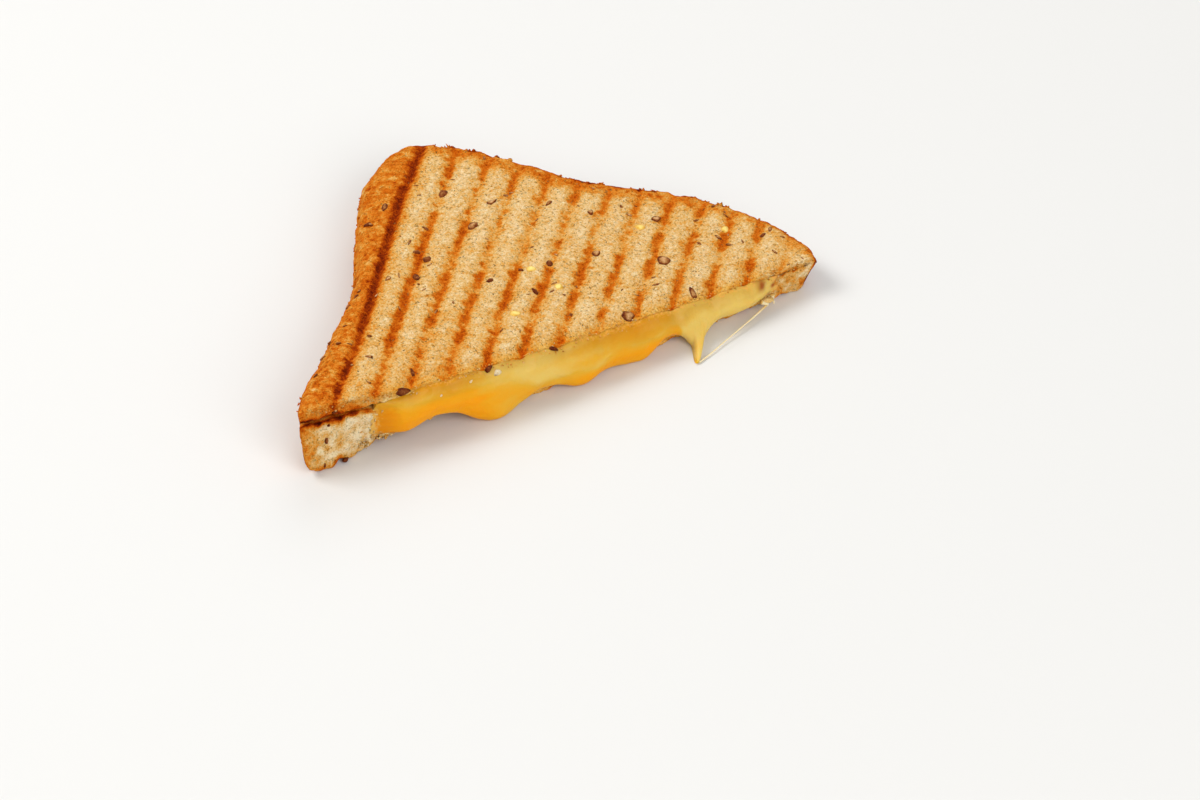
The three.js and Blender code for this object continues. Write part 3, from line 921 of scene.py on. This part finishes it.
def bran_flakes():
    bm = new_scatter()
    for _ in range(BRAN_FLAKES):
        across = 1 - math.sqrt(1 - draw(0, 0.985))
        p = lay_out(across, draw(0.02, 0.985))
        length = draw(0.3, 1.1)
        size = (length, draw(0.14, 0.32), 0.2)
        turn = draw(0, 3.1)
        tone = draw(0, 1)
        crowded = noise.noise((p.x / 9, p.y / 9, 3.3))
        if crowded < draw(-0.5, 0.35) or p.to_side < 10:
            continue
        put_on_face(bm, p.x, p.y, 0.02, turn, size, (tone, tone))
    return close_scatter(bm, "bran_flakes")


bran = add_piece(bran_flakes())

# %% [markdown]
# ## A thread of cheese
#
# One thin thread is still stretched from the cheese near the tip to the foot
# of the drip, with a short forked strand at its upper end. A thread is a tube
# whose rings follow a sagging line and thin out towards its middle.

# %% Cheese threads
THREADS = [
    # start, end, sag, radius at the start, radius beyond it
    ((139.2, -1.9, 2.8), (112.8, -11.7, 0.45), 0.5, 0.36, 0.16),
    ((137.4, -1.6, 4.2), (139.3, -1.9, 2.8), 0.1, 0.7, 0.4),
    ((141.4, -0.7, 4.6), (141.6, -1.3, 1.9), 0.0, 0.8, 0.2),
]
WEBS = [
    # where, turn in degrees, size: the torn web that the threads hang from
    ((139.9, -1.3, 3.4), -20, (2.8, 1.3, 0.8)), ((141.3, -0.8, 3.9), 60, (2.2, 1.0, 0.8)),
]
THREAD_SIDES = 10
THREAD_RINGS = 90


def cheese_threads():
    bm = new_scatter()
    shade = bm.verts.layers.float.values()[0]
    for start, end, sag, thick, thin in THREADS:
        made = bmesh.ops.create_cone(bm, cap_ends=True, segments=THREAD_SIDES,
                                     radius1=1, radius2=1, depth=1)["verts"]
        inside = set(made)
        long_edges = [edge for edge in bm.edges if set(edge.verts) <= inside
                      and abs(edge.verts[0].co.z - edge.verts[1].co.z) > 0.5]
        bmesh.ops.subdivide_edges(bm, edges=long_edges, cuts=THREAD_RINGS)
        bm.verts.ensure_lookup_table()
        fresh = bm.verts[len(bm.verts) - THREAD_SIDES * (THREAD_RINGS + 2):]
        start, end = Vector(start), Vector(end)
        turn = (end - start).to_track_quat("Z", "Y")
        for vert in fresh:
            share = vert.co.z + 0.5
            vert[shade] = fade(share, 0, 0.15)
            radius = mix(thin, thick, (1 - share) ** 3) + 0.1 * share ** 6
            radius *= 1 + 0.25 * noise.noise(Vector((share * 9, thick * 30, 0)))
            ring = turn @ Vector((vert.co.x * radius, vert.co.y * radius, 0))
            droop = Vector((0, 0, -sag * 4 * share * (1 - share)))
            sway = 0.9 * sag * noise.noise_vector(Vector((share * 3.4, 0, 5.7)))
            sway = 4 * share * (1 - share) * Vector((sway.x, sway.y, 0))
            vert.co = start.lerp(end, share) + ring + droop + sway
    for where, turn, size in WEBS:
        put(bm, where, Vector((0, -1, 0.3)), math.radians(turn), size, (1, 1), 3, 0.2, 0.35)
    return close_scatter(bm, "cheese_threads")


threads = add_piece(cheese_threads(), material_slot="pale_cheese")

# %% [markdown]
# ## Crumbs
#
# Toasted bread sheds crumbs where it was cut, its torn end is loose fluff, and
# flakes of crust stand up along the back rim. They are small rough lumps of
# the same bread, so they carry their own browning and share its material.

# %% Crumbs and crust flakes
EDGE_CRUMBS = 420
FLUFF = 90
FRAY = 16
RIM_FLAKES = 340
SIDE_BURRS = 80
# pale crumbs stuck to the cheese: x, share of the way up its lip, size
PALE_CRUMBS = [(56.3, 0.88, 2.4), (48.5, 0.86, 1.1), (39.4, 0.7, 0.8)]


def on_edge():
    """A crumb on the cut edge of the upper slice."""
    x = draw(2, 152)
    inwards = draw(-1.5, 1.1)
    down = max(-inwards, 0)
    p = one_place(x, cut_line(x) + max(inwards, 0))
    out = mix(0.3 * down, 1.05 * math.sqrt(down), stretch(x, 24, 34, 134, 144))
    return x, p.y[0] - out, top_height(p)[0] - 1.3 * down


def on_cheese(x, share):
    p = place_at(x, cut_line(x))
    column = (p.s - CHEESE_LEFT) / (CHEESE_RIGHT - CHEESE_LEFT)
    return [value[0] for value in lip_place(np.array([column]), np.array([share]), 1.0)]


def crumb(bm, where, facing, size, shape, toast, rough=0.4):
    """Adds a crumb, turned at random. Its shape is width and height in shares of its size."""
    put(bm, where, facing, draw(0, 3), (size, *(size * share for share in shape)),
        (toast, toast), rough=rough)


def bread_crumbs():
    bm = new_scatter("toast")
    for x, share, size in PALE_CRUMBS:
        put(bm, on_cheese(x, share), Vector((0, -1, 0.8)), 0.4,
            (size, size * 0.6, size * 0.4), (0.02, 0.02), 2, 0, 0.35)
    for _ in range(EDGE_CRUMBS):
        size = draw(0.3, 0.8)
        toast = draw(0.24, 0.42)
        put(bm, on_edge(), Vector((0, 0, 1)), draw(0, 3),
            (size, size * draw(0.5, 0.9), size * 0.6), (toast, toast), rough=0.35)
    for _ in range(SIDE_BURRS):
        p = lay_out(0.0, draw(0.02, 0.98))
        level = draw(0.35, 1)
        out = CRUST_SWELL_TOP * (1 - (2 * level - 1) ** 2)
        height = mix(lid_under(p), top_height(p), level)[0]
        size = 0.5 + draw(0, 1) ** 2
        toast = draw(0.35, 0.7)
        lean = Vector((draw(-1, 0), draw(-1, 1), 1)).normalized()
        crumb(bm, (p.x - out * SIN, p.y + out * COS, height), lean, size, (0.6, 0.5), toast)
    for _ in range(FLUFF):
        x = draw(15.5, 27)
        p = one_place(x, cut_line(x))
        height = under_height(p)[0] + draw(0, 1) ** 1.5 * (26.5 - x) * 0.7 + 0.3
        size = draw(0.5, 1.4)
        toast = draw(0.05, 0.3)
        crumb(bm, (x, p.y[0] - draw(-0.3, 0.6), height), Vector((0, -1, 1)),
              size, (0.5, 0.4), toast, 0.5)
    for _ in range(FRAY):
        x = draw(19.5, 24.5)
        size = draw(0.5, 1.5)
        toast = draw(0.08, 0.3)
        crumb(bm, (x, cut_line(x) - draw(0, 0.5), draw(3.5, 13)),
              Vector((draw(-0.5, 0.5), -1, 0.7)), size, (0.7, 0.5), toast, 0.5)
    for _ in range(RIM_FLAKES):
        p = lay_out(draw(0.06, 0.99), 1 - draw(0.001, 0.02))
        size = 0.5 + 1.8 * draw(0, 1) ** 2
        if noise.noise((p.s / 4, 2.7, 0)) < draw(-0.3, 0.6):
            continue
        height = surface_at(p.x, p.y)[0]
        toast = draw(0.38, 0.8)
        lean = Vector((draw(-1, 1), draw(-1, 1), 1.2)).normalized()
        crumb(bm, (p.x, p.y, height - 0.1), lean, size, (0.6, 0.4 / size), toast)
    return close_scatter(bm, "bread_crumbs")


crumbs = add_piece(bread_crumbs())

# %% [markdown]
# ## Materials
#
# Colours are written as they look on a screen, and one function turns them to
# the linear numbers that light is worked out with. Another small function adds
# a node with its settings and its links, so a material reads as a short list.

# %% Helpers for materials
MULTIPLY = {"data_type": "RGBA", "blend_type": "MULTIPLY"}  # a mix that darkens


def linear(code):
    values = [int(code[start:start + 2], 16) / 255 for start in (1, 3, 5)]
    return (*[v / 12.92 if v <= 0.04045 else ((v + 0.055) / 1.055) ** 2.4 for v in values], 1)


def add_node(tree, kind, inputs, **settings):
    """Adds a node. Inputs may be numbers, colours or other nodes' outputs."""
    node = tree.nodes.new("ShaderNode" + kind)
    for key, value in settings.items():
        setattr(node, key, value)
    for key, value in inputs.items():
        if isinstance(value, bpy.types.NodeSocket):
            tree.links.new(value, node.inputs[key])
        else:
            node.inputs[key].default_value = value
    return node


def new_material(name, *stored):
    """A material, its nodes, and the values that the vertices store under these names."""
    material = bpy.data.materials.new(name)
    material.use_nodes = True
    tree = material.node_tree
    tree.nodes.clear()
    return material, tree, *[add_node(tree, "Attribute", {}, attribute_name=value).outputs["Fac"]
                             for value in stored]


def give(material, *pieces):
    for piece in pieces:
        piece.data.materials.append(material)


def stops(node, *pairs):
    """Sets the stops of a colour ramp: place and colour."""
    elements = node.color_ramp.elements
    for number, (position, colour) in enumerate(pairs):
        element = elements[number] if number < 2 else elements.new(position)
        element.position = position
        element.color = linear(colour)
    return node.outputs["Color"]


def unevenly(tree, value, *noises):
    """Moves a value up and down by noises, each given with its reach."""
    for source, reach in noises:
        value = add_node(tree, "Math", {0: source.outputs["Fac"], 1: reach, 2: value},
                         operation="MULTIPLY_ADD").outputs[0]
    middle = sum(reach for _, reach in noises) / 2
    return add_node(tree, "Math", {0: value, 1: middle}, operation="SUBTRACT").outputs[0]


def per_metre(millimetres):
    """Scale of a texture on coordinates in metres, for a grain of that size."""
    return 1 / (millimetres * MM)


def finish(tree, shader):
    add_node(tree, "OutputMaterial", {"Surface": shader.outputs[0]})


# %% [markdown]
# ### Toasted wheat bread
#
# Bread is a dry open foam, so it is matt, a little light passes through it,
# and its colour is mostly browning: cream crumb, then gold, orange, red brown
# and nearly black. One ramp over the stored toasting gives all of them. Noise
# of a few tenths of a millimetre breaks its edges up, because each wall of
# the foam browns by itself. Another noise darkens it in small spots: painted
# shade in the pores.

# %% Bread material


def bread_material():
    material, tree, toast, soaked = new_material("toasted wheat bread", "toast", "soaked")
    where = add_node(tree, "TexCoord", {}).outputs["Object"]
    fine, patch, pore_shade, grain = [
        add_node(tree, "TexNoise", {"Vector": where, "Scale": per_metre(size),
                                    "Detail": detail, "Roughness": roughness})
        for size, detail, roughness in [
            (0.5, 3, 0.7), (1.7, 2, 0.5), (0.8, 3, 0.75), (0.5, 4, 0.7)]]
    colour = stops(
        add_node(tree, "ValToRGB", {"Fac": unevenly(tree, toast, (fine, 0.7), (patch, 0.2))}),
        (0.0, "#FBE8C2"), (1.0, "#4A1405"), (0.10, "#F5DAAA"), (0.20, "#ECC588"),
        (0.27, "#E7B567"), (0.35, "#E5A147"), (0.43, "#E08C2C"), (0.51, "#D9781C"),
        (0.60, "#CE640C"), (0.70, "#B84B05"), (0.82, "#8E2E04"), (0.92, "#6C1E04"))
    bran_fleck = add_node(tree, "TexVoronoi", {"Vector": where, "Scale": per_metre(1.3)})
    near_fleck = add_node(tree, "MapRange", {
        0: bran_fleck.outputs["Distance"], 1: 0.08, 2: 0.2, 3: 0.5, 4: 0.0},
        interpolation_type="SMOOTHSTEP")
    # Painted shade in the pores: a fine noise multiplies the colour darker in small spots.
    shaded = stops(add_node(tree, "ValToRGB", {"Fac": pore_shade.outputs["Fac"]}),
                   (0.34, "#BDB19A"), (0.6, "#FFFFFF"), (0.46, "#FBF8F2"))
    tints = (near_fleck.outputs[0], linear("#7A5A34")), (1.0, shaded), (soaked, linear("#FCE6A0"))
    for share, tint in tints:
        colour = add_node(tree, "Mix", {"Factor": share, 6: colour, 7: tint}, **MULTIPLY).outputs[2]
    bump = add_node(tree, "Bump", {
        "Height": grain.outputs["Fac"], "Strength": 1.0, "Distance": 0.5 * MM})
    finish(tree, add_node(tree, "BsdfPrincipled", {
        "Base Color": colour, "Roughness": 0.85, "IOR": 1.45,
        "Specular IOR Level": 0.03, "Normal": bump.outputs["Normal"],
        "Subsurface Weight": 0.12, "Subsurface Radius": (1.0, 0.5, 0.25),
        "Subsurface Scale": 0.6 * MM}))
    return material


give(bread_material(), top_slice, bottom_slice, crumbs)

# %% [markdown]
# ### Melted cheese
#
# Processed cheese melts to a smooth fatty gel: light goes a millimetre into
# it, and its skin has a soft satin gloss. The two kinds mixed where they ran
# together, so both pieces share one material, whose colour goes from pale
# yellow to orange by the stored share. Under the edge of the upper slice a
# stored share darkens it as painted shade. Where bread stuck to it or it
# browned, other stored shares tint it.

# %% Cheese material


def cheese_material():
    material, tree, orange, steeped, crumb, tone, scorched = new_material(
        "melted cheese", "orange", "steeped", "crumb", "crumb_tone", "scorched")
    where = add_node(tree, "TexCoord", {}).outputs["Object"]
    cloudy, frayed, ripples = [
        add_node(tree, "TexNoise", {"Vector": where, "Scale": per_metre(size),
                                    "Detail": detail, "Roughness": roughness})
        for size, detail, roughness in [(5, 4, 0.65), (0.7, 3, 0.5), (1.6, 3, 0.5)]]
    colour = stops(
        add_node(tree, "ValToRGB", {"Fac": unevenly(tree, orange, (cloudy, 0.4))}),
        (0.0, "#E4C162"), (1.0, "#F29D02"), (0.35, "#E6AE30"), (0.7, "#EDA30F"))
    # Painted shade under the upper slice's edge: the colour is multiplied darker by the stored
    # share.
    colour = add_node(tree, "Mix", {
        "Factor": steeped, 6: colour, 7: linear("#E2D0AA")}, **MULTIPLY).outputs[2]
    share = add_node(tree, "Math", {0: frayed.outputs["Fac"], 1: 1.6, 2: crumb},
                     operation="MULTIPLY_ADD")
    share = add_node(tree, "MapRange", {0: share.outputs[0], 1: 1.0, 2: 1.7},
                     interpolation_type="SMOOTHSTEP")
    crumb_colour = add_node(tree, "Mix", {
        "Factor": tone, 6: linear("#E8A84C"), 7: linear("#E0B05A")}, data_type="RGBA")
    colour = add_node(tree, "Mix", {
        "Factor": share.outputs[0], 6: colour, 7: crumb_colour.outputs[2]}, data_type="RGBA")
    toasted = add_node(tree, "Mix", {
        "Factor": scorched, 6: colour.outputs[2], 7: linear("#A4561A")}, data_type="RGBA")
    bump = add_node(tree, "Bump", {
        "Height": ripples.outputs["Fac"], "Strength": 0.8, "Distance": 0.3 * MM})
    finish(tree, add_node(tree, "BsdfPrincipled", {
        "Base Color": toasted.outputs[2], "Roughness": 0.3, "IOR": 1.45,
        "Specular IOR Level": 0.14, "Normal": bump.outputs["Normal"],
        "Subsurface Weight": 0.35, "Subsurface Radius": (1.0, 0.55, 0.15),
        "Subsurface Scale": 0.9 * MM}))
    return material


give(cheese_material(), pale_cheese, orange_cheese)


def thread_material():
    """A thread is so thin that the cheese in it looks nearly white."""
    material, tree, tone = new_material("stretched cheese", "tone")
    colour = add_node(tree, "Mix", {
        "Factor": tone, 6: linear("#F0DDAE"), 7: linear("#DDB468")},
        data_type="RGBA")
    finish(tree, add_node(tree, "BsdfPrincipled", {
        "Base Color": colour.outputs[2], "Roughness": 0.35, "IOR": 1.45,
        "Subsurface Weight": 0.3, "Subsurface Radius": (1.0, 0.7, 0.4),
        "Subsurface Scale": 0.4 * MM}))
    return material


give(thread_material(), threads)

# %% [markdown]
# ### Seeds, millet and bran
#
# A flax seed has a hard dark brown coat; the lighter, greyer top that each
# seed is given is a painted highlight. Millet is a dull yellow grain and bran
# a dull brown flake. They differ only in their colours and their gloss, so
# one function makes all three.

# %% Materials of the small things


def grain_material(name, roughness, first, last, *between):
    material, tree, tone = new_material(name, "tone")
    where = add_node(tree, "TexCoord", {}).outputs["Object"]
    mottled = add_node(tree, "TexNoise", {
        "Vector": where, "Scale": per_metre(0.8), "Detail": 3, "Roughness": 0.6})
    colour = stops(add_node(tree, "ValToRGB", {"Fac": unevenly(tree, tone, (mottled, 1.4))}),
                   (0.0, first), (1.0, last), *between)
    finish(tree, add_node(tree, "BsdfPrincipled", {
        "Base Color": colour, "Roughness": roughness, "IOR": 1.47, "Specular IOR Level": 0.08}))
    return material


give(grain_material("flax seed coat", 0.5, "#541C06", "#DCAE7C",
                    (0.3, "#80421A"), (0.62, "#B07C46")), seeds)
give(grain_material("hulled millet", 0.55, "#D89E2C", "#F8E288"), millet)
give(grain_material("wheat bran", 0.8, "#523A14", "#A88246"), bran)

# %% [markdown]
# ## Floor, light and camera
#
# The sandwich lies on a plain pale table. Soft light comes from large panels,
# the brightest high on the left, so that the grooves and pores show and the
# shadow falls softly to the right. The camera looks down at 41.5 degrees
# through a long lens.

# %% Floor


def make_floor():
    bm = bmesh.new()
    bmesh.ops.create_grid(bm, x_segments=1, y_segments=1, size=3)
    floor = put_in_scene("floor", finish_mesh(bm, "floor"))
    material, tree = new_material("white table")
    finish(tree, add_node(tree, "BsdfPrincipled", {
        "Base Color": linear("#E2E1DE"), "Roughness": 0.6}))
    give(material, floor)


make_floor()

# %% Light
PANELS = [
    # name, position in m, width in m, power in W
    ("key_panel", (-0.68, 0.5, 1.05), 0.65, 11.1),
    ("fill_panel", (0.12, -1.2, 0.9), 1.0, 11.4),
    ("back_panel", (0.6, 0.8, 0.8), 0.8, 3.4),
]


def make_light():
    for name, position, width, power in PANELS:
        light = bpy.data.lights.new(name, "AREA")
        light.size = width
        light.energy = power
        panel = put_in_scene(name, light)
        panel.location = position
        panel.rotation_euler = (-Vector(position)).to_track_quat("-Z", "Y").to_euler()
    world = bpy.data.worlds.new("studio")
    world.use_nodes = True
    sky = world.node_tree.nodes["Background"]
    sky.inputs["Color"].default_value = linear("#FFFFFF")
    sky.inputs["Strength"].default_value = 0.42
    bpy.context.scene.world = world
    bpy.context.scene.view_settings.view_transform = "Standard"


make_light()

# %% Camera
CAMERA_PLACE = (-0.46412, -0.93162, 0.88096)
CAMERA_TURN = (90 - 41.5, 0, -28.21)  # degrees


def make_camera():
    lens = bpy.data.cameras.new("camera")
    lens.lens = 150
    lens.sensor_width = 36
    lens.shift_x = -0.00833
    lens.shift_y = -0.0025
    lens.clip_end = 20
    camera = put_in_scene("camera", lens)
    camera.location = CAMERA_PLACE
    camera.rotation_euler = Euler([math.radians(angle) for angle in CAMERA_TURN])
    bpy.context.scene.camera = camera


make_camera()
